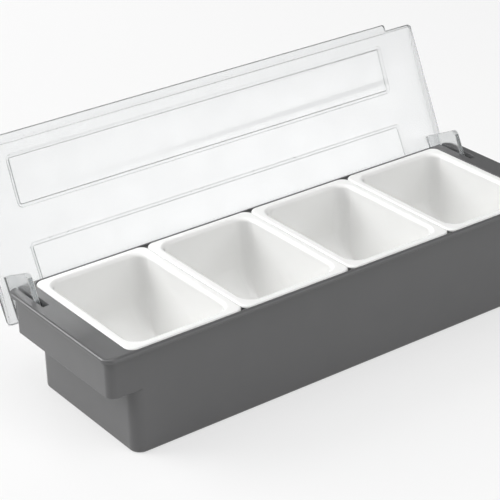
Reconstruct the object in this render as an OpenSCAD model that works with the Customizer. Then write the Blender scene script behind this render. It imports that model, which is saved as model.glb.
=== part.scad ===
/* [Tray] */
// Height of the rim above the table
tray_height = 92; // [88:1:110]
// Thickness of the tray walls and floor
tray_wall = 2.5; // [2:0.1:3]
// Thickness of the rim and end flanges
rim_thickness = 3.8; // [3.6:0.1:5]
// Width of the rim left standing in front of and behind the inserts
rim_upstand = 2.9; // [2.5:0.1:5]
// Width of the ledge that carries the insert rims
ledge_width = 3.8; // [3:0.1:5]
// Length of each end flange beyond the inserts
flange_length = 22.4; // [20:0.2:30]
// Radius of the rim corners seen from above
rim_corner_r = 9; // [6:1:12]
// Radius of the upright corners of the tray body
body_corner_r = 10; // [6:1:12]
// Radius along the bottom edge of the tray
foot_radius = 3; // [2:0.5:4]
// Height of the hollow end boxes, from their open bottom to the rim's top
end_box_height = 35.7; // [34:0.1:40]

/* [Inserts] */
// Number of inserts side by side
insert_count = 4; // [2:1:6]
// Spacing of the inserts along the tray
insert_pitch = 105; // [90:1:120]
// Depth of an insert over its rim, front to back
insert_depth = 140.4; // [130:0.2:160]
// Distance from an insert's outer edge to its inside wall
insert_rim = 8.4; // [7.5:0.1:10]
// Thickness of an insert's rim
insert_rim_t = 2.2; // [2:0.1:2.6]
// Wall thickness of an insert
insert_wall = 2; // [1.6:0.1:2.4]
// Inside depth from the rim top to the bottom
insert_inside_h = 72; // [50:1:76]
// Radius that turns an insert's rim into its mouth
mouth_edge_r = 3.6; // [1.6:0.1:4]
// Slope of an insert's walls from upright
insert_draft = 3; // [1:0.5:5]
// Radius that turns the front and back walls into the bottom
scoop_radius = 32; // [15:1:40]

/* [Lid] */
// Thickness of the clear lid
lid_t = 2.2; // [2:0.1:2.4]
// Height of the lid's top face above its seat at the back
lid_rear_rise = 6.5; // [6.2:0.1:8]
// Height of the lid's top face above its seat at the front
lid_front_rise = 3.7; // [3.5:0.1:6]
// Rise of the arch above a straight line from back to front
lid_arch = 3.5; // [2.5:0.1:5]
// How far the finger lip reaches past the lid's front edge
lip_reach = 5.8; // [4:0.2:8]
// Depth of each of the two shallow panels, front to back
window_depth = 43.5; // [30:0.5:50]
// Height of the step round the shallow panels
window_step = 1; // [0.6:0.1:1.2]
// Thickness of the two hinge legs
leg_t = 4.4; // [3.6:0.1:4.8]
// Angle that the lid swings through from closed to open
open_angle = 115.6; // [100:0.1:116]
// Diameter of the hinge studs on the legs
stud_d = 8; // [6:0.5:9]

/* [Hidden] */
$fn = 64;
eps = 0.01;
trim = 1;

// Clearances
seat_gap = 0.2;
neighbour_gap = 0.3;
rebate_gap = 0.4;
lid_gap = 0.3;
leg_side_gap = 0.65;
leg_end_gap = 0.8;
pad_gap = 0.75;
stop_gap = 0.3;
heel_gap = 0.7;
stud_play = 0.05;
stud_end_gap = 0.4;

// Tray places
rebate_half_x = insert_count * insert_pitch / 2 - neighbour_gap / 2 + rebate_gap;
rebate_half_y = insert_depth / 2 + rebate_gap;
rebate_corner_r = 8.4;
tray_half_x = rebate_half_x + flange_length;
tray_half_y = rebate_half_y + rim_upstand;
cavity_half_x = rebate_half_x - ledge_width;
cavity_half_y = rebate_half_y - ledge_width;
body_half_x = cavity_half_x + tray_wall;
body_half_y = cavity_half_y + tray_wall;
plate_z = tray_height - rim_thickness;
rim_edge_r = 1;
insert_rise = 0.4;
insert_top_z = tray_height + insert_rise;
ledge_z = insert_top_z - insert_rim_t - seat_gap;
end_box_half_x = tray_half_x - 4;
end_box_z = tray_height - end_box_height;
end_box_corner_r = 7;

// Hinge places, with each slot open to the back of its flange
prong_width = 8.5;
slot_outer_x = tray_half_x - prong_width;
slot_inner_x = slot_outer_x - leg_t - 2 * leg_side_gap;
leg_outer_x = slot_outer_x - leg_side_gap;
hinge_y = tray_half_y - 12.3;
hinge_z = tray_height - 14.6;
pad_inner_x = leg_outer_x + pad_gap;
socket_depth = 2;
stud_length = pad_gap + socket_depth - stud_end_gap;

// Lid places in the closed position
lid_half_x = tray_half_x - 0.2;
lid_back_y = tray_half_y - 0.9;
lid_front_y = -tray_half_y + 4.6;
lid_seat_z = tray_height + lid_gap;
lid_chord = norm([lid_back_y - lid_front_y, lid_rear_rise - lid_front_rise]);
lid_slope = atan2(lid_rear_rise - lid_front_rise, lid_back_y - lid_front_y);
lid_radius = lid_chord * lid_chord / (8 * lid_arch) + lid_arch / 2;
lid_mid_y = (lid_back_y + lid_front_y) / 2;
lid_mid_z = lid_seat_z + (lid_rear_rise + lid_front_rise) / 2;
lid_centre_y = lid_mid_y + (lid_radius - lid_arch) * sin(lid_slope);
lid_centre_z = lid_mid_z - (lid_radius - lid_arch) * cos(lid_slope);
lip_half_x = lid_half_x - 28.4;
window_half_x = lid_half_x - 38.9;
window_offset = 2.6;
window_corner_r = 4.2;
lid_corner_r = 4;
lip_corner_r = 3;
bead_depth = 0.8;
window_starts = [lid_front_y + 11.2, lid_back_y - 13.8 - window_depth];

// Hinge leg places in the closed position
leg_front_y = hinge_y - 27.1;
leg_bottom_z = end_box_z + 0.5;
leg_corner_r = 5;
leg_reach = norm([hinge_y - leg_front_y - leg_corner_r, hinge_z - leg_bottom_z - leg_corner_r])
    + leg_corner_r;
slot_front_y = hinge_y - sqrt(leg_reach ^ 2 - (plate_z - hinge_z) ^ 2) - leg_end_gap;
stop_depth = (lid_back_y - hinge_y - (body_half_y - hinge_y) * cos(open_angle)) / sin(open_angle);
slit_floor_z = hinge_z - stop_depth - stop_gap;
heel_r = norm([cavity_half_y - hinge_y, hinge_z - slit_floor_z]) - heel_gap;
heel_y = cavity_half_y - 0.6;

// Flat shape with true round corners
module rounded_rect(w, d, r) {
    square([w - 2 * r, d], center = true);
    square([w, d - 2 * r], center = true);
    for (sx = [-1, 1], sy = [-1, 1])
        translate([sx * (w / 2 - r), sy * (d / 2 - r)]) circle(r = r);
}

// Upright block with round corners
module rounded_block(w, d, h, r) {
    linear_extrude(height = h) rounded_rect(w, d, r);
}

// Outline drawn in Y and Z, drawn out along X
module along_x(length) {
    rotate([90, 0, 90]) linear_extrude(height = length, center = true) children();
}

// Outline drawn in X and Z, drawn out along Y
module along_y(length) {
    rotate([90, 0, 0]) linear_extrude(height = length, center = true) children();
}

// Sloped walls that turn into a flat bottom through true arcs, which cross a sloped wall just above
// the place where they would touch it
module tub_outline(top_w, bottom_w, h, r) {
    a = atan2((top_w - bottom_w) / 2, h);
    cross = a > 0 ? 0.002 : 0;
    cx = bottom_w / 2 - r * (1 - sin(a)) / cos(a);
    tx = cx + r * cos(a);
    tz = r * (1 - sin(a));
    polygon([[-cx, 0], [cx, 0], [tx, tz], [top_w / 2, h], [-top_w / 2, h], [-tx, tz]]);
    for (s = [-1, 1])
        translate([s * cx, r + cross]) circle(r = r + cross);
}

// Ring of round bar that follows a rounded rectangle
module edge_bar(w, d, corner_r, bar_r) {
    for (s = [-1, 1]) {
        translate([0, s * d / 2, 0]) rotate([0, 90, 0])
            cylinder(r = bar_r, h = w - 2 * corner_r, center = true);
        translate([s * w / 2, 0, 0]) rotate([90, 0, 0])
            cylinder(r = bar_r, h = d - 2 * corner_r, center = true);
    }
    for (q = [0 : 3]) {
        sx = (q == 0 || q == 3) ? 1 : -1;
        sy = q < 2 ? 1 : -1;
        translate([sx * (w / 2 - corner_r), sy * (d / 2 - corner_r), 0]) rotate([0, 0, 90 * q])
            rotate_extrude(angle = 90) translate([corner_r, 0]) circle(r = bar_r);
    }
}

// Plate whose upper edge is rounded all the way round
module soft_plate(w, d, h, corner_r, edge_r) {
    rounded_block(w, d, h - edge_r, corner_r);
    rounded_block(w - 2 * edge_r, d - 2 * edge_r, h, corner_r - edge_r);
    intersection() {
        translate([0, 0, h - edge_r])
            edge_bar(w - 2 * edge_r, d - 2 * edge_r, corner_r - edge_r, edge_r);
        translate([-w, -d, 0]) cube([2 * w, 2 * d, h + 1]);
    }
}

// Both ends of the tray, mirrored
module both_ends() {
    for (s = [0, 1])
        mirror([s, 0, 0]) children();
}

// Outside of the tray body with its rounded foot
module tray_body() {
    intersection() {
        rounded_block(2 * body_half_x, 2 * body_half_y, plate_z + eps, body_corner_r);
        along_y(2 * tray_half_y) tub_outline(2 * body_half_x, 2 * body_half_x, tray_height, foot_radius);
        along_x(2 * tray_half_x) tub_outline(2 * body_half_y, 2 * body_half_y, tray_height, foot_radius);
    }
}

// Hollow end box below one flange, open downwards
module end_box() {
    depth = 2 * body_half_y;
    wide = 2 * end_box_half_x;
    translate([0, 0, end_box_z]) difference() {
        rounded_block(wide, depth, plate_z - end_box_z + eps, end_box_corner_r);
        translate([0, 0, -eps]) rounded_block(wide - 2 * tray_wall, depth - 2 * tray_wall,
            plate_z - end_box_z + 1, end_box_corner_r - tray_wall);
    }
}

// Thick pad inside the end box that holds the hinge socket
module hinge_pad() {
    pad_front_y = hinge_y - 8;
    pad_z = hinge_z - 7.5;
    translate([pad_inner_x, pad_front_y, pad_z])
        cube([end_box_half_x - 1 - pad_inner_x, body_half_y - 1 - pad_front_y, plate_z - pad_z + eps]);
}

module tray() {
    color("#2b2b2d") difference() {
        union() {
            tray_body();
            end_box();
            translate([0, 0, plate_z])
                soft_plate(2 * tray_half_x, 2 * tray_half_y, rim_thickness, rim_corner_r, rim_edge_r);
            both_ends() hinge_pad();
        }
        // Room for ice below the inserts
        translate([0, 0, tray_wall])
            rounded_block(2 * cavity_half_x, 2 * cavity_half_y, tray_height, body_corner_r - tray_wall);
        // Step that the insert rims sit in
        translate([0, 0, ledge_z])
            rounded_block(2 * rebate_half_x, 2 * rebate_half_y, tray_height, rebate_corner_r);
        both_ends() {
            // Slot for the hinge leg, through the flange and the back wall of the end box
            translate([slot_inner_x, slot_front_y, slit_floor_z])
                cube([slot_outer_x - slot_inner_x, 2 * tray_half_y, tray_height]);
            // Blind socket for the hinge stud
            translate([pad_inner_x - 1, hinge_y, hinge_z]) rotate([0, 90, 0])
                cylinder(r = stud_d / 2 + stud_play, h = socket_depth + 1);
        }
    }
}

// One insert, centred on its own place in the row
module insert() {
    rim_w = insert_pitch - neighbour_gap;
    mouth_w = rim_w - 2 * insert_rim;
    mouth_d = insert_depth - 2 * insert_rim;
    outside_h = insert_inside_h + insert_wall;
    narrowing = 2 * insert_inside_h * tan(insert_draft);
    mouth_r = 12;
    rim_r = insert_rim_t - 0.3;
    side_r = 8;
    wall2 = 2 * insert_wall;
    difference() {
        union() {
            // Rim
            translate([0, 0, insert_top_z - insert_rim_t])
                soft_plate(rim_w, insert_depth, insert_rim_t, 8, rim_r);
            // Outside of the cup
            translate([0, 0, insert_top_z - outside_h]) intersection() {
                rounded_block(mouth_w + wall2, mouth_d + wall2, outside_h - 1, mouth_r + insert_wall);
                along_y(insert_depth) tub_outline(mouth_w + wall2, mouth_w + wall2 - narrowing,
                    outside_h, side_r + insert_wall);
                along_x(rim_w) tub_outline(mouth_d + wall2, mouth_d + wall2 - narrowing,
                    outside_h, scoop_radius + insert_wall);
            }
        }
        // Inside of the cup
        translate([0, 0, insert_top_z - insert_inside_h]) intersection() {
            rounded_block(mouth_w, mouth_d, insert_inside_h + 1, mouth_r);
            along_y(insert_depth) tub_outline(mouth_w, mouth_w - narrowing, insert_inside_h + eps, side_r);
            along_x(rim_w) tub_outline(mouth_d, mouth_d - narrowing, insert_inside_h + eps, scoop_radius);
        }
        // Rounded edge of the mouth
        translate([0, 0, insert_top_z - mouth_edge_r]) difference() {
            rounded_block(mouth_w + 2 * mouth_edge_r, mouth_d + 2 * mouth_edge_r, mouth_edge_r + 1,
                mouth_r + mouth_edge_r);
            edge_bar(mouth_w + 2 * mouth_edge_r, mouth_d + 2 * mouth_edge_r, mouth_r + mouth_edge_r,
                mouth_edge_r);
        }
    }
}

// Insert number n, counted from the left
module insert_at(n) {
    x = (n - (insert_count + 1) / 2) * insert_pitch;
    color("#f4f4f2") translate([x, 0, 0]) insert();
}

// Everything between two depths below the arched top face of the lid, drawn in Y and Z
module lid_layer(top_depth, bottom_depth) {
    translate([lid_centre_y, lid_centre_z]) difference() {
        circle(r = lid_radius - top_depth, $fn = 1440);
        circle(r = lid_radius - bottom_depth, $fn = 1440);
    }
}

// Strip of an arched layer between two places along Y
module lid_strip(half_x, from_y, to_y, top_depth, bottom_depth) {
    along_x(2 * half_x) intersection() {
        lid_layer(top_depth, bottom_depth);
        translate([from_y, tray_height - 30]) square([to_y - from_y, 60]);
    }
}

// The same strip with round corners seen from above
module lid_field(half_x, from_y, to_y, top_depth, bottom_depth, corner_r) {
    intersection() {
        lid_strip(half_x + trim, from_y - trim, to_y + trim, top_depth, bottom_depth);
        translate([0, (from_y + to_y) / 2, tray_height - 20])
            rounded_block(2 * half_x, to_y - from_y, 50, corner_r);
    }
}

// Outline of a side wall of the lid, up to the lid's top face
module side_wall_outline() {
    intersection() {
        translate([lid_centre_y, lid_centre_z]) circle(r = lid_radius - lid_t / 2, $fn = 1440);
        polygon([
            [lid_front_y - trim, lid_seat_z],
            [lid_back_y - 25.5, lid_seat_z + 1.2],
            [lid_back_y + trim, lid_seat_z + 4.9],
            [lid_back_y + trim, lid_seat_z + 20],
            [lid_front_y - trim, lid_seat_z + 20]
        ]);
    }
}

// Outline of a hinge leg in Y and Z
module leg_outline() {
    intersection() {
        translate([lid_centre_y, lid_centre_z]) circle(r = lid_radius - lid_t / 2, $fn = 1440);
        union() {
            // Front part with its rounded lower corner
            difference() {
                translate([leg_front_y, leg_bottom_z])
                    square([heel_y - leg_front_y, tray_height]);
                translate([leg_front_y - 1, leg_bottom_z - 1]) square(leg_corner_r + 1);
            }
            translate([leg_front_y + leg_corner_r, leg_bottom_z + leg_corner_r]) circle(r = leg_corner_r);
            // Heel that turns clear of the end box
            intersection() {
                translate([hinge_y, hinge_z]) circle(r = heel_r);
                translate([hinge_y, hinge_z - heel_r]) square([lid_back_y - hinge_y, 2 * heel_r]);
            }
            // Root under the back edge of the lid
            translate([hinge_y, hinge_z]) square([lid_back_y - hinge_y, tray_height]);
        }
    }
}

// Turns the closed lid into its open position
module swing_open() {
    translate([0, hinge_y, hinge_z]) rotate([-open_angle, 0, 0])
        translate([0, -hinge_y, -hinge_z]) children();
}

// Panel with its turned down front edge and its side walls
module lid_shell() {
    intersection() {
        union() {
            lid_strip(lid_half_x + trim, lid_front_y - trim, lid_back_y + trim, 0, lid_t);
            lid_strip(lid_half_x + trim, lid_front_y - trim, lid_front_y + lid_t, 0, lid_t + bead_depth);
            both_ends() translate([lid_half_x + (trim - lid_t) / 2, 0, 0])
                along_x(lid_t + trim) side_wall_outline();
        }
        translate([0, lid_mid_y, tray_height])
            rounded_block(2 * lid_half_x, lid_back_y - lid_front_y, 60, lid_corner_r);
    }
}

// Hinge legs with their studs
module hinge_legs() {
    both_ends() {
        translate([leg_outer_x - leg_t / 2, 0, 0]) along_x(leg_t) leg_outline();
        translate([leg_outer_x - 1, hinge_y, hinge_z]) rotate([0, 90, 0])
            cylinder(d = stud_d, h = stud_length + 1);
    }
}

module lid() {
    color([0.85, 0.9, 0.92, 0.4]) swing_open() {
        difference() {
            union() {
                lid_shell();
                // Finger lip
                lid_field(lip_half_x, lid_front_y - lip_reach, lid_front_y + 2 * lip_corner_r, 0, lid_t,
                    lip_corner_r);
                // Steps on the underside of the shallow panels
                for (y = window_starts)
                    lid_field(window_half_x, y, y + window_depth, lid_t / 2, lid_t + window_step,
                        window_corner_r);
            }
            // Shallow panels sunk into the top face
            for (y = window_starts)
                lid_field(window_half_x - window_offset, y + window_offset,
                    y + window_depth - window_offset, -1, window_step, window_corner_r - window_offset);
        }
        hinge_legs();
    }
}

tray();
insert_at(1);  // insert_1
insert_at(2);  // insert_2
insert_at(3);  // insert_3
insert_at(4);  // insert_4
lid();
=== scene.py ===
# %% [markdown]
# # A condiment caddy with a clear hinged lid
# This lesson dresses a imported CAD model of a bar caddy: a dark tray, four white inserts and one clear lid.
# The CAD model is loaded first and stays where it is. Every visible piece is then made in mesh code in
# the same place, and rides on the body that it belongs to, so the lid still swings and the inserts still
# lift out.

import bmesh
import bpy
import math
from mathutils import Matrix, Vector


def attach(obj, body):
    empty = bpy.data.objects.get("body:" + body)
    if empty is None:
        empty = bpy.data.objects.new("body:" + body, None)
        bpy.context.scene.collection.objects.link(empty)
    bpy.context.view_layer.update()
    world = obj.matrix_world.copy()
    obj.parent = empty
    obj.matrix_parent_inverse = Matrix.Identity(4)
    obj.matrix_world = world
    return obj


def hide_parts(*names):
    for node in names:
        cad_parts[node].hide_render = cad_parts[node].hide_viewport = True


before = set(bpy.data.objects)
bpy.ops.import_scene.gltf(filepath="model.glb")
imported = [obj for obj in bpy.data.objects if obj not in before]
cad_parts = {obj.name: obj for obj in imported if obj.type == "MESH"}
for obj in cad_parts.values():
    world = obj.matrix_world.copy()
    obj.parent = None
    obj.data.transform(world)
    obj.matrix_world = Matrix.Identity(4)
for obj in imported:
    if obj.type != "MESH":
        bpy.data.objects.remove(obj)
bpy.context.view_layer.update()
scene = bpy.context.scene

# %% [markdown]
# ## Working in millimetres
# Blender counts in metres, but a moulded part is drawn in millimetres. All shapes below are written in
# millimetres and one factor turns them into metres when the mesh is made. Two small makers do this: one
# turns points and faces into an object, the other draws a flat outline and pulls it into a block.

# %% Mesh makers
MM = 0.001
CORNER_STEPS = 10


def new_object(name, points, faces):
    """An object in the scene from points in millimetres."""
    mesh = bpy.data.meshes.new(name)
    mesh.from_pydata([[MM * c for c in p] for p in points], [], faces)
    made = bpy.data.objects.new(name, mesh)
    scene.collection.objects.link(made)
    return made


def rounded_outline(half_w, half_d, radius, steps=CORNER_STEPS):
    """Points round a rectangle with round corners, counter-clockwise from the back right corner."""
    points = []
    for corner, (sx, sy) in enumerate([(1, 1), (-1, 1), (-1, -1), (1, -1)]):
        for i in range(steps + 1):
            a = math.radians(90 * (corner + i / steps))
            x = sx * (half_w - radius) + radius * math.cos(a)
            y = sy * (half_d - radius) + radius * math.sin(a)
            points.append((x, y))
    return points


def block(name, outline, low, high, axis="z"):
    """A closed block: a flat outline pulled along an axis. Along x, the outline holds (y, z)."""
    def place(p, h):
        return (p[0], p[1], h) if axis == "z" else (h, p[0], p[1])

    count = len(outline)
    points = [place(p, low) for p in outline] + [place(p, high) for p in outline]
    sides = [(i, (i + 1) % count, count + (i + 1) % count, count + i) for i in range(count)]
    return new_object(name, points, [tuple(reversed(range(count))), tuple(range(count, 2 * count)), *sides])


def box_outline(x0, x1, y0, y1):
    """The four corners of a plain rectangle."""
    return [(x0, y0), (x1, y0), (x1, y1), (x0, y1)]


def on_side(side, near, far):
    """A range along x on the left (side -1) or the right (side 1), lowest value first."""
    return sorted((side * near, side * far))


print("a rounded outline has", len(rounded_outline(10, 10, 2)), "points")

# %% [markdown]
# ## Cutting and joining
# A moulded tray is easiest to think of as a solid block with pieces added and hollows taken away, which
# is what Boolean modifiers do. Each one is applied at once, so that only a plain mesh is left. The sharp
# edges are then broken by a small bevel: no moulded edge is perfectly sharp, and the thin line of light
# along a rounded edge is what makes plastic look like plastic.

# %% Boolean helpers
def apply_modifiers(piece):
    """Replaces a piece's mesh by what its modifiers make of it."""
    depsgraph = bpy.context.evaluated_depsgraph_get()
    result = bpy.data.meshes.new_from_object(piece.evaluated_get(depsgraph))
    piece.modifiers.clear()
    piece.data = result


def combine(piece, tools, operation):
    """Joins, cuts or trims a piece with each tool in turn, and deletes the tools."""
    for tool in tools:
        step = piece.modifiers.new(operation, "BOOLEAN")
        step.operation = operation
        step.solver = "EXACT"
        step.object = tool
        apply_modifiers(piece)
        bpy.data.objects.remove(tool)
    return piece


def tidy_mesh(piece, flat_angle=0.3, weld=0.004):
    """Welds stray doubles and takes out the edges that a Boolean leaves across flat faces."""
    mesh = bmesh.new()
    mesh.from_mesh(piece.data)
    bmesh.ops.remove_doubles(mesh, verts=mesh.verts, dist=weld * MM)
    bmesh.ops.dissolve_limit(
        mesh, angle_limit=math.radians(flat_angle), verts=mesh.verts, edges=mesh.edges,
        use_dissolve_boundaries=False,
    )
    bmesh.ops.recalc_face_normals(mesh, faces=mesh.faces)
    mesh.to_mesh(piece.data)
    mesh.free()


print("Boolean helpers ready")

# %% [markdown]
# Two kinds of rounding are needed. A rim that shows a clear round edge gets a wider one, on the edges
# of that rim alone, because a wide bevel on every edge would fold over itself where faces are small. All
# other sharp edges then get a narrow one from a Bevel modifier.

# %% Rounding helpers
UPRIGHT_SLOPE = 0.3
LEVEL_SLOPE = 0.8
RIM_SEGMENTS = 5
EDGE_SEGMENTS = 3
SHARP_ANGLE = math.radians(35)


def round_rim(piece, side, width):
    """Rounds the edges between upright faces and faces that look up (side 1) or down (side -1)."""
    mesh = bmesh.new()
    mesh.from_mesh(piece.data)
    chosen = []
    for edge in mesh.edges:
        slopes = sorted(side * face.normal.z for face in edge.link_faces)
        if abs(slopes[0]) < UPRIGHT_SLOPE and slopes[1] > LEVEL_SLOPE:
            chosen.append(edge)
    bmesh.ops.bevel(mesh, geom=chosen, offset=width * MM, segments=RIM_SEGMENTS, profile=0.5, affect="EDGES",
                    clamp_overlap=True)
    mesh.to_mesh(piece.data)
    mesh.free()


def soften(piece, width):
    """Rounds every sharp edge a little and shades the result smoothly."""
    bevel = piece.modifiers.new("edges", "BEVEL")
    bevel.width = width * MM
    bevel.segments = EDGE_SEGMENTS
    bevel.limit_method = "ANGLE"
    bevel.angle_limit = SHARP_ANGLE
    bevel.miter_outer = "MITER_ARC"
    bevel.use_clamp_overlap = False
    normals = piece.modifiers.new("normals", "WEIGHTED_NORMAL")
    normals.weight = 100
    normals.keep_sharp = True
    for face in piece.data.polygons:
        face.use_smooth = True
    apply_modifiers(piece)


print("rounding helpers ready")

# %% [markdown]
# ## The camera
# The camera stands to the left of the caddy and looks down on it. Its place and its focal length were
# worked out from straight edges whose real lengths are known, so the picture's perspective matches.
# A camera looks along its own -Z axis, so its three axes are set as the columns of a matrix.

# %% Camera
IMAGE_SIZE = 500
FOCAL_PIXELS = 1828.64
SENSOR_WIDTH = 36
FARTHEST_VIEW = 50
CAMERA_PLACE = Vector((-0.8154, -1.0680, 0.7535))
CAMERA_YAW, CAMERA_PITCH, CAMERA_ROLL = 0.62255, 0.46323, 0.02877


def camera_axes(yaw, pitch, roll):
    """The camera's right, up and backward directions."""
    forward = Vector((math.sin(yaw) * math.cos(pitch), math.cos(yaw) * math.cos(pitch), -math.sin(pitch)))
    level = Vector((math.cos(yaw), -math.sin(yaw), 0))
    down = forward.cross(level)
    right = math.cos(roll) * level + math.sin(roll) * down
    up = math.sin(roll) * level - math.cos(roll) * down
    return right, up, -forward


camera_data = bpy.data.cameras.new("camera")
camera_data.sensor_width = SENSOR_WIDTH
camera_data.lens = FOCAL_PIXELS / IMAGE_SIZE * SENSOR_WIDTH
camera_data.clip_end = FARTHEST_VIEW
camera = bpy.data.objects.new("camera", camera_data)
scene.collection.objects.link(camera)
scene.camera = camera
right, up, back = camera_axes(CAMERA_YAW, CAMERA_PITCH, CAMERA_ROLL)
camera.matrix_world = Matrix.Translation(CAMERA_PLACE) @ Matrix((right, up, back)).transposed().to_4x4()
print("lens in mm:", round(camera_data.lens, 1))

# %% [markdown]
# ## One white insert
# Each insert is a thin moulded cup with a flat rim. Its outside and inside can be described by
# rectangles with round corners, one above the other, so the mesh is lofted: rings of points run from the
# middle of the inside, up the wall, over the mouth and the rim, and down the outside. Neighbouring rings
# are joined by quads. This gives true roundings where a light runs along them, which is what makes
# glossy plastic readable.

# %% Sizes of an insert
RIM_TOP = 92.4
RIM_HALF_X, RIM_HALF_Y = 52.35, 70.2
RIM_CORNER = 8.0
RIM_DEPTH = 2.2
RIM_EDGE = 1.9
MOUTH_HALF_X, MOUTH_HALF_Y = 43.95, 61.8
MOUTH_CORNER = 12.0
MOUTH_EDGE = 3.6
INSIDE_DEPTH = 72.0
WALL = 2.0
DRAFT = math.radians(3)
SIDE_RADIUS = 8.0
SCOOP_RADIUS = 32.0
LOW_CORNER = 6.0
CORNER_GROWTH = 1.5
WALL_RINGS = {40.0, 50.0, 60.0}


def wall_place(half_top, height, radius, h):
    """Half width of a sloped wall that turns into a flat bottom, at a height h above the bottom."""
    turn_h = radius * (1 - math.sin(DRAFT))
    half_low = half_top - height * math.tan(DRAFT)
    centre = half_low - turn_h / math.cos(DRAFT)
    if h < turn_h:
        return centre + math.sqrt(max(0.0, radius ** 2 - (radius - h) ** 2))
    return half_top - (height - h) * math.tan(DRAFT)


def cup_rings(half_x, half_y, bottom, height, side, scoop, corner, low_corner):
    """Rings of a cup from its bottom up, as (half x, half y, corner radius, z)."""
    heights = {scoop * (1 - math.cos(math.radians(a))) for a in range(0, 88, 4)}
    heights |= {side * (1 - math.cos(math.radians(a))) for a in range(10, 88, 10)}
    heights |= WALL_RINGS | {height - MOUTH_EDGE}
    rings = []
    for h in sorted(heights):
        blend = min(1.0, h / scoop)
        r = low_corner + (corner - low_corner) * blend ** CORNER_GROWTH
        x = wall_place(half_x, height, side, h)
        y = wall_place(half_y, height, scoop, h)
        rings.append((x, y, r, bottom + h))
    return rings


inside = cup_rings(MOUTH_HALF_X, MOUTH_HALF_Y, RIM_TOP - INSIDE_DEPTH, INSIDE_DEPTH,
                   SIDE_RADIUS, SCOOP_RADIUS, MOUTH_CORNER, LOW_CORNER)
print("rings inside an insert:", len(inside))

# %% [markdown]
# The mouth and the rim's outer edge are quarter circles, so their rings come from angles. The outside of
# the cup is the same form again, one wall thickness larger. The bottom of each ring stack is closed by
# one face.

# %% Rings of the rim and the outside
def mouth_and_rim():
    """Rings over the mouth's rounding, the flat rim and its outer edge."""
    rings = []
    wall_x, wall_y, wall_corner, _ = inside[-1]
    for a in range(13, 91, 11):
        out = MOUTH_EDGE * (math.cos(DRAFT) - math.cos(math.radians(a)))
        z = RIM_TOP - MOUTH_EDGE * (1 - math.sin(math.radians(a)))
        rings.append((wall_x + out, wall_y + out, wall_corner + out, z))
    for a in range(0, 91, 15):
        inset = RIM_EDGE * (1 - math.sin(math.radians(a)))
        z = RIM_TOP - RIM_EDGE * (1 - math.cos(math.radians(a)))
        rings.append((RIM_HALF_X - inset, RIM_HALF_Y - inset, RIM_CORNER - inset, z))
    rings.append((RIM_HALF_X, RIM_HALF_Y, RIM_CORNER, RIM_TOP - RIM_DEPTH))
    return rings


def outside_rings():
    """Rings of the outside of the cup, from the rim down."""
    height = INSIDE_DEPTH + WALL
    rings = cup_rings(MOUTH_HALF_X + WALL, MOUTH_HALF_Y + WALL, RIM_TOP - height, height,
                      SIDE_RADIUS + WALL, SCOOP_RADIUS + WALL, MOUTH_CORNER + WALL, LOW_CORNER + WALL)
    return rings[::-1]


print("rings of the rim and the outside:", len(mouth_and_rim()) + len(outside_rings()))

# %% [markdown]
# Four inserts of one mould stand side by side, one pitch apart. Only their place along the tray differs,
# so one function makes them all. Weighted normals keep the large walls evenly shaded up to the small
# faces of the roundings.

# %% The four inserts
PITCH = 105.0
INSERT_CORNER_STEPS = 12
FACE_WEIGHT = 80


def make_insert(name, x):
    """One insert with its middle at x."""
    rings = inside + mouth_and_rim() + outside_rings()
    points = []
    for half_x, half_y, r, z in rings:
        points += [(x + px, py, z) for px, py in rounded_outline(half_x, half_y, r, INSERT_CORNER_STEPS)]
    n = len(points) // len(rings)
    faces = [tuple(range(n))]
    for k in range(len(rings) - 1):
        a, b = k * n, (k + 1) * n
        faces += [(a + i, b + i, b + (i + 1) % n, a + (i + 1) % n) for i in range(n)]
    faces.append(tuple(reversed(range(len(points) - n, len(points)))))
    piece = new_object(name, points, faces)
    tidy_mesh(piece, flat_angle=0.01)
    for face in piece.data.polygons:
        face.use_smooth = True
    normals = piece.modifiers.new("normals", "WEIGHTED_NORMAL")
    normals.weight = FACE_WEIGHT
    apply_modifiers(piece)
    return piece


inserts = [make_insert(f"white_insert_{n}", PITCH * (n - 2.5)) for n in range(1, 5)]
print("faces in one insert:", len(inserts[0].data.polygons))

# %% [markdown]
# ## The dark tray
# The tray is one moulding: a deep body that once held ice, a thick rim plate that reaches out over both
# ends, and a short box below each end. It is made the way it would be carved: blocks are joined, then the
# ice space, the step for the insert rims and the slots for the lid's legs are cut away.

# %% Tray blocks
BODY_HALF_X, BODY_HALF_Y = 208.95, 69.3
BODY_CORNER = 10.0
FOOT = 3.0
PLATE_HALF_X, PLATE_HALF_Y = 232.65, 73.5
PLATE_CORNER = 9.0
PLATE_LOW, PLATE_TOP = 88.2, 92.0
RIM_ROUNDING = 2.4
END_HALF_X = 228.65
END_LOW = 56.3
END_CORNER = 7.0
TRAY_WALL = 2.5
OVERLAP = 0.5
CUT_PAST = 5


def lofted_block(name, rings):
    """A closed block from rings of (half x, half y, corner radius, z)."""
    points = []
    for half_x, half_y, r, z in rings:
        points += [(px, py, z) for px, py in rounded_outline(half_x, half_y, r)]
    n = len(points) // len(rings)
    faces = [tuple(reversed(range(n)))]
    for k in range(len(rings) - 1):
        a, b = k * n, (k + 1) * n
        faces += [(a + i, a + (i + 1) % n, b + (i + 1) % n, b + i) for i in range(n)]
    faces.append(tuple(range(len(points) - n, len(points))))
    return new_object(name, points, faces)


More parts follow.
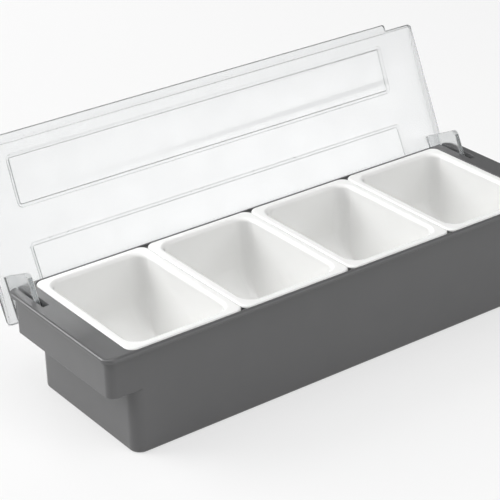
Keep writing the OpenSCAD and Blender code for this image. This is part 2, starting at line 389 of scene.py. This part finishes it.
foot_rings = []
for angle in range(0, 91, 15):
    inset = FOOT * (1 - math.sin(math.radians(angle)))
    foot_rings.append((BODY_HALF_X - inset, BODY_HALF_Y - inset, BODY_CORNER - inset,
                       FOOT * (1 - math.cos(math.radians(angle)))))
body_top = (BODY_HALF_X, BODY_HALF_Y, BODY_CORNER, PLATE_LOW + OVERLAP)
tray = lofted_block("dark_tray", foot_rings + [body_top])
end_outline = rounded_outline(END_HALF_X, BODY_HALF_Y, END_CORNER)
end_box = block("end_box", end_outline, END_LOW, PLATE_LOW + OVERLAP)
hollow = block(
    "end_hollow",
    rounded_outline(END_HALF_X - TRAY_WALL, BODY_HALF_Y - TRAY_WALL, END_CORNER - TRAY_WALL),
    END_LOW - CUT_PAST, PLATE_LOW)
plate_rings = [(PLATE_HALF_X, PLATE_HALF_Y, PLATE_CORNER, PLATE_LOW)]
for angle in range(0, 91, 10):
    inset = RIM_ROUNDING * (1 - math.cos(math.radians(angle)))
    plate_rings.append((PLATE_HALF_X - inset, PLATE_HALF_Y - inset, PLATE_CORNER - inset,
                        PLATE_TOP - RIM_ROUNDING * (1 - math.sin(math.radians(angle)))))
plate = lofted_block("plate", plate_rings)
print("foot rings:", len(foot_rings))

# %% [markdown]
# Each leg of the lid drops into a slot that is open at the back. Beside the slot a pad with a blind round
# socket takes the stud of the leg, so the lid can be sprung in without a pin.

# %% Tray cuts
CUT_BACK, CUT_TOP = 90, 110
SLOT_X = (218.45, 224.15)
SLOT_FRONT = 30.22
SLOT_FLOOR = 60.58
HINGE_Y, HINGE_Z = 61.2, 77.4
PAD_X = (224.25, 227.65)
PAD_Y = (HINGE_Y - 8, BODY_HALF_Y - 1)
PAD_LOW = HINGE_Z - 7.5
SOCKET_RADIUS, SOCKET_DEPTH, SOCKET_START = 4.05, 2.0, 0.05


def round_outline(y, z, radius, steps=40):
    """A circle drawn in y and z."""
    turns = [2 * math.pi * i / steps for i in range(steps)]
    return [(y + radius * math.cos(a), z + radius * math.sin(a)) for a in turns]


pads, slots, sockets = [], [], []
for side in (-1, 1):
    x0, x1 = on_side(side, *PAD_X)
    pads.append(block("pad", box_outline(x0, x1, *PAD_Y), PAD_LOW, PLATE_LOW + OVERLAP))
    x0, x1 = on_side(side, *SLOT_X)
    slots.append(block("slot", box_outline(x0, x1, SLOT_FRONT, CUT_BACK), SLOT_FLOOR, CUT_TOP))
    x0, x1 = on_side(side, PAD_X[0] - SOCKET_START, PAD_X[0] + SOCKET_DEPTH)
    sockets.append(block("socket", round_outline(HINGE_Y, HINGE_Z, SOCKET_RADIUS), x0, x1, axis="x"))

ICE_HALF_X, ICE_HALF_Y, ICE_CORNER = 206.45, 66.8, 7.5
STEP_HALF_X, STEP_HALF_Y, STEP_CORNER = 210.25, 70.6, 8.4
STEP_Z = 90.0
TRAY_EDGE = 0.45
ice_space = block("ice_space", rounded_outline(ICE_HALF_X, ICE_HALF_Y, ICE_CORNER), TRAY_WALL, CUT_TOP)
rim_step = block("rim_step", rounded_outline(STEP_HALF_X, STEP_HALF_Y, STEP_CORNER), STEP_Z, CUT_TOP)

combine(end_box, [hollow], "DIFFERENCE")
combine(tray, [end_box, plate, *pads], "UNION")
combine(tray, [ice_space, rim_step, *slots, *sockets], "DIFFERENCE")
tidy_mesh(tray)
print("faces in the tray before its edges are rounded:", len(tray.data.polygons))
soften(tray, TRAY_EDGE)
print("faces in the tray:", len(tray.data.polygons))

# %% [markdown]
# ## The clear lid
# The real lid is one sheet-like moulding of clear plastic, slightly arched from back to front, with two
# shallow panels that stiffen it, low walls at its ends, a finger lip and two hinge legs. It is drawn
# closed, where its arch is simple to describe, and turned open at the end. The arch is one large circle:
# every layer of the lid is the space between two depths below it.

# %% Arch of the lid
ARCH_Y, ARCH_Z, ARCH_RADIUS = 15.968, -616.071, 717.11
ARCH_STEP = 5.0
LID_T = 2.2
TRIM = 1.0


def arch_line(depth, y0, y1):
    """Points (y, z) along the arch at a depth below its top face. Every layer shares the same steps."""
    def on_step(y):
        return ARCH_Z + math.sqrt((ARCH_RADIUS - depth) ** 2 - (y - ARCH_Y) ** 2)

    def at(y):
        low = ARCH_STEP * math.floor(y / ARCH_STEP)
        share = (y - low) / ARCH_STEP
        return (1 - share) * on_step(low) + share * on_step(low + ARCH_STEP)

    steps = range(math.ceil(y0 / ARCH_STEP + 1e-6), math.floor(y1 / ARCH_STEP - 1e-6) + 1)
    return [(y, at(y)) for y in [y0, *(ARCH_STEP * k for k in steps), y1]]


def arch_layer(name, half_x, y0, y1, top_depth, low_depth):
    """The arched layer between two depths, from y0 to y1."""
    outline = arch_line(low_depth, y0, y1) + arch_line(top_depth, y0, y1)[::-1]
    return block(name, outline, -half_x, half_x, axis="x")


LID_HALF_X = 232.45
LID_FRONT, LID_BACK = -68.9, 72.6
LIP_ROOM = 8
lid = arch_layer("clear_lid", LID_HALF_X + TRIM, LID_FRONT - LIP_ROOM, LID_BACK + TRIM, 0, LID_T)
print("height of the arch's middle:", round(arch_line(0, ARCH_Y, ARCH_Y + 1)[0][1], 2), "mm")

# %% [markdown]
# Seen from above, the lid is a rectangle with a long lip on its front edge. That outline cuts the arched
# layer and the two end walls in one go, so their faces meet without a seam.

# %% Outlines of the lid
LID_CORNER = 4.0
LIP_HALF_X, LIP_FRONT, LIP_CORNER = 204.05, -74.7, 3.0
LIP_HALF_DEPTH = 10
CORNER_POINTS = CORNER_STEPS + 1


def shifted(outline, y):
    """An outline moved along y."""
    return [(px, py + y) for px, py in outline]


def plain_plan():
    """The lid seen from above, without its lip."""
    middle = (LID_BACK + LID_FRONT) / 2
    return shifted(rounded_outline(LID_HALF_X, (LID_BACK - LID_FRONT) / 2, LID_CORNER), middle)


def lip_plan():
    """The lid seen from above, with its lip."""
    body = plain_plan()
    lip = shifted(rounded_outline(LIP_HALF_X, LIP_HALF_DEPTH, LIP_CORNER), LIP_FRONT + LIP_HALF_DEPTH)
    lip_corners = lip[2 * CORNER_POINTS:]
    step_left, step_right = (-LIP_HALF_X, LID_FRONT), (LIP_HALF_X, LID_FRONT)
    turn = 3 * CORNER_POINTS
    return body[:turn] + [step_left] + lip_corners + [step_right] + body[turn:]


print("points round the lid:", len(lip_plan()))

# %% [markdown]
# The end walls hang from the arch down to just above the tray's rim, and their lower edge rises towards
# the hinge so that it clears the rim as the lid turns. A small bead stiffens the underside of the front
# edge. The upper edge of the lid gets the wider rounding that catches the light all round.

# %% Shell of the lid
SEAT_Z = 92.3
WALL_TURN, WALL_RISE, WALL_BACK_RISE = 25.5, 1.2, 4.9
PLAN_LOW, PLAN_TOP = 60, 130
LID_FLAT_ANGLE = 0.1
EDGE_ROUNDING = 0.85
BEAD_DEPTH = 0.8


def cut_to_plan(piece, outline):
    """Keeps the part of a piece that lies inside an outline seen from above."""
    return combine(piece, [block("plan", outline, PLAN_LOW, PLAN_TOP)], "INTERSECT")


def end_wall(name, side):
    """A low wall along one end of the lid, whose lower edge rises towards the back."""
    outline = [
        (LID_FRONT - TRIM, SEAT_Z), (LID_BACK - WALL_TURN, SEAT_Z + WALL_RISE),
        (LID_BACK + TRIM, SEAT_Z + WALL_BACK_RISE),
        *arch_line(LID_T / 2, LID_FRONT - TRIM, LID_BACK + TRIM)[::-1],
    ]
    wall = block(name, outline, *on_side(side, LID_HALF_X - LID_T, LID_HALF_X), axis="x")
    round_rim(wall, -1, EDGE_ROUNDING)
    return wall


combine(lid, [end_wall("left_wall", -1), end_wall("right_wall", 1)], "UNION")
cut_to_plan(lid, lip_plan())
tidy_mesh(lid, flat_angle=LID_FLAT_ANGLE)
round_rim(lid, 1, EDGE_ROUNDING)
bead = arch_layer("bead", LID_HALF_X + TRIM, LID_FRONT - TRIM, LID_FRONT + LID_T,
                  LID_T / 2, LID_T + BEAD_DEPTH)
cut_to_plan(bead, plain_plan())
combine(lid, [bead], "UNION")
print("faces in the shell:", len(lid.data.polygons))

# %% [markdown]
# Each shallow panel is a step: its field is sunk into the top face and stands out by the same amount on
# the underside, so the sheet keeps its thickness. Clear plastic shows such a step as a fine double line.

# %% Shallow panels
WINDOW_HALF_X, WINDOW_DEPTH = 193.55, 43.5
WINDOW_STARTS = (-57.7, 15.3)
WINDOW_STEP = 1.0
WINDOW_INSET = 2.6
WINDOW_CORNER = 4.2
ABOVE_LID = -1
STEP_ROUNDING = 0.6


def window_field(name, start, inset, top_depth, low_depth):
    """Part of an arched layer inside the round-cornered outline of one shallow panel."""
    half_x = WINDOW_HALF_X - inset
    half_y = WINDOW_DEPTH / 2 - inset
    middle = start + WINDOW_DEPTH / 2
    outline = shifted(rounded_outline(half_x, half_y, WINDOW_CORNER - inset), middle)
    reach = half_y + TRIM
    field = arch_layer(name, half_x + TRIM, middle - reach, middle + reach, top_depth, low_depth)
    cut_to_plan(field, outline)
    round_rim(field, -1, STEP_ROUNDING)
    return field


for start in WINDOW_STARTS:
    raised = window_field("raised", start, 0, LID_T / 2, LID_T + WINDOW_STEP)
    sunk = window_field("sunk", start, WINDOW_INSET, ABOVE_LID, WINDOW_STEP)
    combine(lid, [raised], "UNION")
    combine(lid, [sunk], "DIFFERENCE")
print("faces with the shallow panels:", len(lid.data.polygons))

# %% [markdown]
# The legs hang from the back of the lid into the slots of the tray. Their heel is part of a circle round
# the hinge, so it turns clear of the end box, and their studs snap into the sockets.

# %% Hinge legs
LEG_X = (219.1, 223.5)
LEG_FRONT, LEG_LOW, LEG_CORNER = 34.1, 56.8, 5.0
HEEL_Y, HEEL_RADIUS = 66.2, 17.03
STUD_RADIUS, STUD_LENGTH, STUD_ROOT = 4.0, 2.35, 1
LEG_STEPS = 8


def leg_outline():
    """A leg drawn in y and z, from its front lower corner round to the front again."""
    corner = []
    for i in range(LEG_STEPS + 1):
        a = math.radians(180 + 90 * i / LEG_STEPS)
        y = LEG_FRONT + LEG_CORNER * (1 + math.cos(a))
        corner.append((y, LEG_LOW + LEG_CORNER * (1 + math.sin(a))))
    heel = []
    for i in range(LEG_STEPS + 1):
        y = HEEL_Y + (LID_BACK - HEEL_Y) * i / LEG_STEPS
        heel.append((y, HINGE_Z - math.sqrt(HEEL_RADIUS ** 2 - (y - HINGE_Y) ** 2)))
    return corner + [(HEEL_Y, LEG_LOW)] + heel + arch_line(LID_T / 2, LEG_FRONT, LID_BACK)[::-1]


for side in (-1, 1):
    leg = block("leg", leg_outline(), *on_side(side, *LEG_X), axis="x")
    x0, x1 = on_side(side, LEG_X[1] - STUD_ROOT, LEG_X[1] + STUD_LENGTH)
    stud = block("stud", round_outline(HINGE_Y, HINGE_Z, STUD_RADIUS), x0, x1, axis="x")
    combine(lid, [leg, stud], "UNION")
print("faces with the legs:", len(lid.data.polygons))

# %% [markdown]
# Two things are left before the lid can be turned open. Its sharp edges are softened, and since a corner
# where many small faces meet can throw a bevel point outwards, all points are kept inside the lid's own
# outline. Every face that lies askew belongs to a rounding, so it gets the lid's second material.

# %% Soft edges and opening
LID_WELD = 0.08
LID_EDGE = 0.35
EDGE_TILT = 0.98
OPEN_ANGLE = math.radians(115.6)
tidy_mesh(lid, flat_angle=LID_FLAT_ANGLE, weld=LID_WELD)
soften(lid, LID_EDGE)
for vertex in lid.data.vertices:
    vertex.co.x = max(-LID_HALF_X * MM, min(LID_HALF_X * MM, vertex.co.x))
    vertex.co.y = max(LIP_FRONT * MM, min(LID_BACK * MM, vertex.co.y))
for face in lid.data.polygons:
    # The roundings get the second material, whose grey paints shade along the lid's edges.
    face.material_index = int(max(abs(value) for value in face.normal) < EDGE_TILT)
hinge_place = Matrix.Translation((0, HINGE_Y * MM, HINGE_Z * MM))
lid.data.transform(hinge_place @ Matrix.Rotation(-OPEN_ANGLE, 4, "X") @ hinge_place.inverted())
print("faces in the lid:", len(lid.data.polygons))

# %% [markdown]
# ## Node materials
# A material is a small graph of nodes. Two helpers keep the graphs short: one makes an empty Principled
# material, the other makes a noise pattern whose size is given in millimetres. The noise reads the
# object's own coordinates, so the grain has the same size on every piece and needs no unwrapping.

# %% Material helpers
NOISE_LOW, NOISE_HIGH = 0.3, 0.7


def new_material(name):
    """A material with a Principled shader, its node tree and that shader."""
    material = bpy.data.materials.new(name)
    material.use_nodes = True
    tree = material.node_tree
    return material, tree, tree.nodes["Principled BSDF"]


def noise(tree, size_mm, detail):
    """A noise pattern with features of about a given size, as its 0 to 1 output."""
    place = tree.nodes.new("ShaderNodeTexCoord")
    node = tree.nodes.new("ShaderNodeTexNoise")
    node.inputs["Scale"].default_value = 1 / (size_mm * MM)
    node.inputs["Detail"].default_value = detail
    tree.links.new(place.outputs["Object"], node.inputs["Vector"])
    return node.outputs["Fac"]


def spread(tree, value, low, high):
    """Turns a noise value, which stays near its middle, into a range from low to high."""
    node = tree.nodes.new("ShaderNodeMapRange")
    node.inputs["From Min"].default_value = NOISE_LOW
    node.inputs["From Max"].default_value = NOISE_HIGH
    node.inputs["To Min"].default_value = low
    node.inputs["To Max"].default_value = high
    tree.links.new(value, node.inputs["Value"])
    return node.outputs["Result"]


def tint(tree, value, low, high):
    """A colour between two colours, by a 0 to 1 value."""
    node = tree.nodes.new("ShaderNodeMix")
    node.data_type = "RGBA"
    node.inputs["A"].default_value = (*low, 1)
    node.inputs["B"].default_value = (*high, 1)
    tree.links.new(value, node.inputs["Factor"])
    return node.outputs["Result"]


def grain(tree, shader, value, depth_mm, strength):
    """Bump from a pattern, with its depth in millimetres."""
    node = tree.nodes.new("ShaderNodeBump")
    node.inputs["Distance"].default_value = depth_mm * MM
    node.inputs["Strength"].default_value = strength
    tree.links.new(value, node.inputs["Height"])
    tree.links.new(node.outputs["Normal"], shader.inputs["Normal"])


print("material helpers ready")

# %% [markdown]
# The tray's plastic is a dark grey moulding with a fine satin grain and a broad soft shine. The grain is
# a bump of a few thousandths of a millimetre, and slow changes of roughness and colour keep large walls
# from looking like painted card.

# %% Dark satin plastic
TRAY_IOR = 1.45
TRAY_TONES = (0.113, 0.113, 0.115), (0.125, 0.125, 0.127)
tray_plastic, tree, shader = new_material("tray_plastic")
tree.links.new(tint(tree, noise(tree, 30, 3), *TRAY_TONES), shader.inputs["Base Color"])
tree.links.new(spread(tree, noise(tree, 14, 3), 0.14, 0.19), shader.inputs["Roughness"])
grain(tree, shader, noise(tree, 0.8, 1), 0.004, 0.25)
shader.inputs["IOR"].default_value = TRAY_IOR
tray.data.materials.append(tray_plastic)
print("nodes:", len(tree.nodes))

# %% [markdown]
# The inserts are moulded in a hard white plastic that is polished where food touches it. It is nearly
# white, but not fully, so its roundings can still catch a light. A very shallow waviness breaks up the
# reflections as it does on a real moulding.

# %% White gloss plastic
INSERT_IOR = 1.5
INSERT_TONES = (0.855, 0.855, 0.845), (0.885, 0.885, 0.875)
insert_plastic, tree, shader = new_material("insert_plastic")
tree.links.new(tint(tree, noise(tree, 45, 2), *INSERT_TONES), shader.inputs["Base Color"])
tree.links.new(spread(tree, noise(tree, 12, 3), 0.16, 0.26), shader.inputs["Roughness"])
grain(tree, shader, noise(tree, 3.5, 2), 0.02, 0.15)
shader.inputs["IOR"].default_value = INSERT_IOR
for piece in inserts:
    piece.data.materials.append(insert_plastic)
print("nodes:", len(tree.nodes))

# %% [markdown]
# The lid is clear plastic. Light passes through it and bends at the steps and edges, which is most of
# what makes it visible against white. It isn't perfectly smooth, so its roughness spreads the sheen of a
# lamp softly over the sheet, and a little of the light is lost on the way through. A renderer follows
# bent light to a lamp badly, so the way from a surface to a lamp goes straight through the lid instead.

# %% Clear plastic
LAMP_SHARE = 0.9
CLEAR_IOR = 1.5
LID_TONES = (0.888, 0.894, 0.896), (0.903, 0.908, 0.910)
LID_DEPTH_COLOR = (0.48, 0.51, 0.52, 1)
LID_DEPTH_DENSITY = 45


def lets_lamps_through(tree, shader):
    """Shadow rays pass clear plastic with a small loss, so what lies behind it stays lit."""
    path = tree.nodes.new("ShaderNodeLightPath")
    open_way = tree.nodes.new("ShaderNodeBsdfTransparent")
    open_way.inputs["Color"].default_value = (LAMP_SHARE, LAMP_SHARE, LAMP_SHARE, 1)
    mixed = tree.nodes.new("ShaderNodeMixShader")
    tree.links.new(path.outputs["Is Shadow Ray"], mixed.inputs["Fac"])
    tree.links.new(shader.outputs["BSDF"], mixed.inputs[1])
    tree.links.new(open_way.outputs["BSDF"], mixed.inputs[2])
    tree.links.new(mixed.outputs[0], tree.nodes["Material Output"].inputs["Surface"])


clear_plastic, tree, shader = new_material("clear_plastic")
tree.links.new(tint(tree, noise(tree, 60, 2), *LID_TONES), shader.inputs["Base Color"])
tree.links.new(spread(tree, noise(tree, 25, 2), 0.16, 0.22), shader.inputs["Roughness"])
grain(tree, shader, noise(tree, 9, 1), 0.01, 0.1)
shader.inputs["Transmission Weight"].default_value = 1
shader.inputs["IOR"].default_value = CLEAR_IOR
depth_tint = tree.nodes.new("ShaderNodeVolumeAbsorption")
depth_tint.inputs["Color"].default_value = LID_DEPTH_COLOR
depth_tint.inputs["Density"].default_value = LID_DEPTH_DENSITY
tree.links.new(depth_tint.outputs["Volume"], tree.nodes["Material Output"].inputs["Volume"])
lets_lamps_through(tree, shader)
lid.data.materials.append(clear_plastic)
print("nodes:", len(tree.nodes))

# %% [markdown]
# The rounded edges of the lid get a rougher, greyer and less clear version of the same plastic. The grey
# is painted shade: it draws the fine grey lines round the lid and its panels, which a clear sheet shows
# where its rounded edges bend the light.

# %% Painted shade on the edges of the lid
# Grey tones of the edges: painted shade for the dark lines along the lid's roundings.
EDGE_SHADE_TONES = (0.72, 0.735, 0.74), (0.80, 0.81, 0.82)
EDGE_CLEARNESS = 0.6
edge_shade_plastic, tree, shader = new_material("clear_plastic_painted_edge_shade")
tree.links.new(tint(tree, noise(tree, 8, 3), *EDGE_SHADE_TONES), shader.inputs["Base Color"])
tree.links.new(spread(tree, noise(tree, 3, 2), 0.25, 0.4), shader.inputs["Roughness"])
shader.inputs["Transmission Weight"].default_value = EDGE_CLEARNESS
shader.inputs["IOR"].default_value = CLEAR_IOR
lets_lamps_through(tree, shader)
lid.data.materials.append(edge_shade_plastic)
print("nodes:", len(tree.nodes))

# %% [markdown]
# ## Floor and light
# The caddy stands on a white table under soft light that comes mostly from the left. The floor is a
# pale surface that also glows for the camera, so it comes close to full white while it still shows the
# object's shadow. The same glow gives reflections and the clear lid a white surrounding.

# %% Floor
def seen_directly(tree):
    """1 for rays from the camera, from a reflection or through clear material, and 0 for diffuse light."""
    path = tree.nodes.new("ShaderNodeLightPath")
    value = path.outputs["Is Camera Ray"]
    for other in ("Is Glossy Ray", "Is Transmission Ray"):
        node = tree.nodes.new("ShaderNodeMath")
        node.operation = "MAXIMUM"
        tree.links.new(value, node.inputs[0])
        tree.links.new(path.outputs[other], node.inputs[1])
        value = node.outputs[0]
    return value


FLOOR_HALF = 20000
FLOOR_COLOR = (0.80, 0.80, 0.80, 1)
GLOW_SHARE = 0.6
floor_corners = box_outline(-FLOOR_HALF, FLOOR_HALF, -FLOOR_HALF, FLOOR_HALF)
floor = new_object("floor", [(x, y, 0) for x, y in floor_corners], [(0, 1, 2, 3)])
floor_white, tree, shader = new_material("floor_white")
shader.inputs["Base Color"].default_value = FLOOR_COLOR
shader.inputs["Roughness"].default_value = 0.7
shader.inputs["Specular IOR Level"].default_value = 0
glow = tree.nodes.new("ShaderNodeEmission")
share = tree.nodes.new("ShaderNodeMath")
share.operation = "MULTIPLY"
share.inputs[1].default_value = GLOW_SHARE
mixed = tree.nodes.new("ShaderNodeMixShader")
tree.links.new(seen_directly(tree), share.inputs[0])
tree.links.new(share.outputs[0], mixed.inputs["Fac"])
tree.links.new(shader.outputs["BSDF"], mixed.inputs[1])
tree.links.new(glow.outputs["Emission"], mixed.inputs[2])
tree.links.new(mixed.outputs[0], tree.nodes["Material Output"].inputs["Surface"])
floor.data.materials.append(floor_white)
print("floor in metres:", 2 * FLOOR_HALF * MM)

# %% [markdown]
# The room itself is a dim even grey. Large square lamps do most of the work, as soft boxes do in a
# studio: their soft edges run over the dark plastic as slow gradients. Two smaller ones, low behind the
# caddy and in front of it, are there for the sheen on the tray's flanges and on the open lid.

# %% World and lamps
WORLD_LEVEL = 0.04
AIM_POINT = Vector((0, 0, 0.05))
world = bpy.data.worlds.new("soft_room")
scene.world = world
world.use_nodes = True
room = world.node_tree.nodes["Background"]
room.inputs["Color"].default_value = (1, 1, 1, 1)
room.inputs["Strength"].default_value = WORLD_LEVEL


def soft_lamp(name, place, size, watts):
    """A square lamp in metres and watts that points at the middle of the caddy."""
    data = bpy.data.lights.new(name, "AREA")
    data.size = size
    data.energy = watts
    lamp = bpy.data.objects.new(name, data)
    scene.collection.objects.link(lamp)
    lamp.location = place
    lamp.rotation_euler = (AIM_POINT - Vector(place)).to_track_quat("-Z", "Y").to_euler()


LAMPS = [
    ("back_left_lamp", (-2.9, 2.9, 2.6), 3.0, 190),
    ("top_lamp", (0.0, 0.0, 3.2), 2.4, 20),
    ("front_top_lamp", (0.0, -1.8, 3.0), 2.4, 36),
    ("left_lamp", (-2.0, 0.2, 3.0), 2.4, 34),
    ("flange_sheen_lamp", (0.62, 1.65, 0.82), 0.45, 2.8),
    ("lid_sheen_lamp", (1.9, -2.7, 1.4), 1.2, 15),
    ("front_low_lamp", (0.4, -2.8, 0.5), 1.6, 14),
]
for lamp in LAMPS:
    soft_lamp(*lamp)
print("lamps:", len(LAMPS))

# %% [markdown]
# ## Pieces on their bodies
# Each piece stands for one CAD node, whose own mesh is hidden, and rides on that node's body, so
# the lid turns on its studs and each insert lifts on its own.

# %% Ride and replace
def stands_for(piece, node, body):
    """Puts a piece in the place of a CAD node, on that node's body."""
    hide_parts(node)
    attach(piece, body)


stands_for(tray, "tray", "base")
stands_for(lid, "lid", "cover")
for n, piece in enumerate(inserts, 1):
    stands_for(piece, f"insert_{n}", f"cup_{n}")
print("pieces:", len(inserts) + 2)

# %% [markdown]
# The picture is shown with the Standard view transform.

# %% Finish
scene.view_settings.view_transform = "Standard"
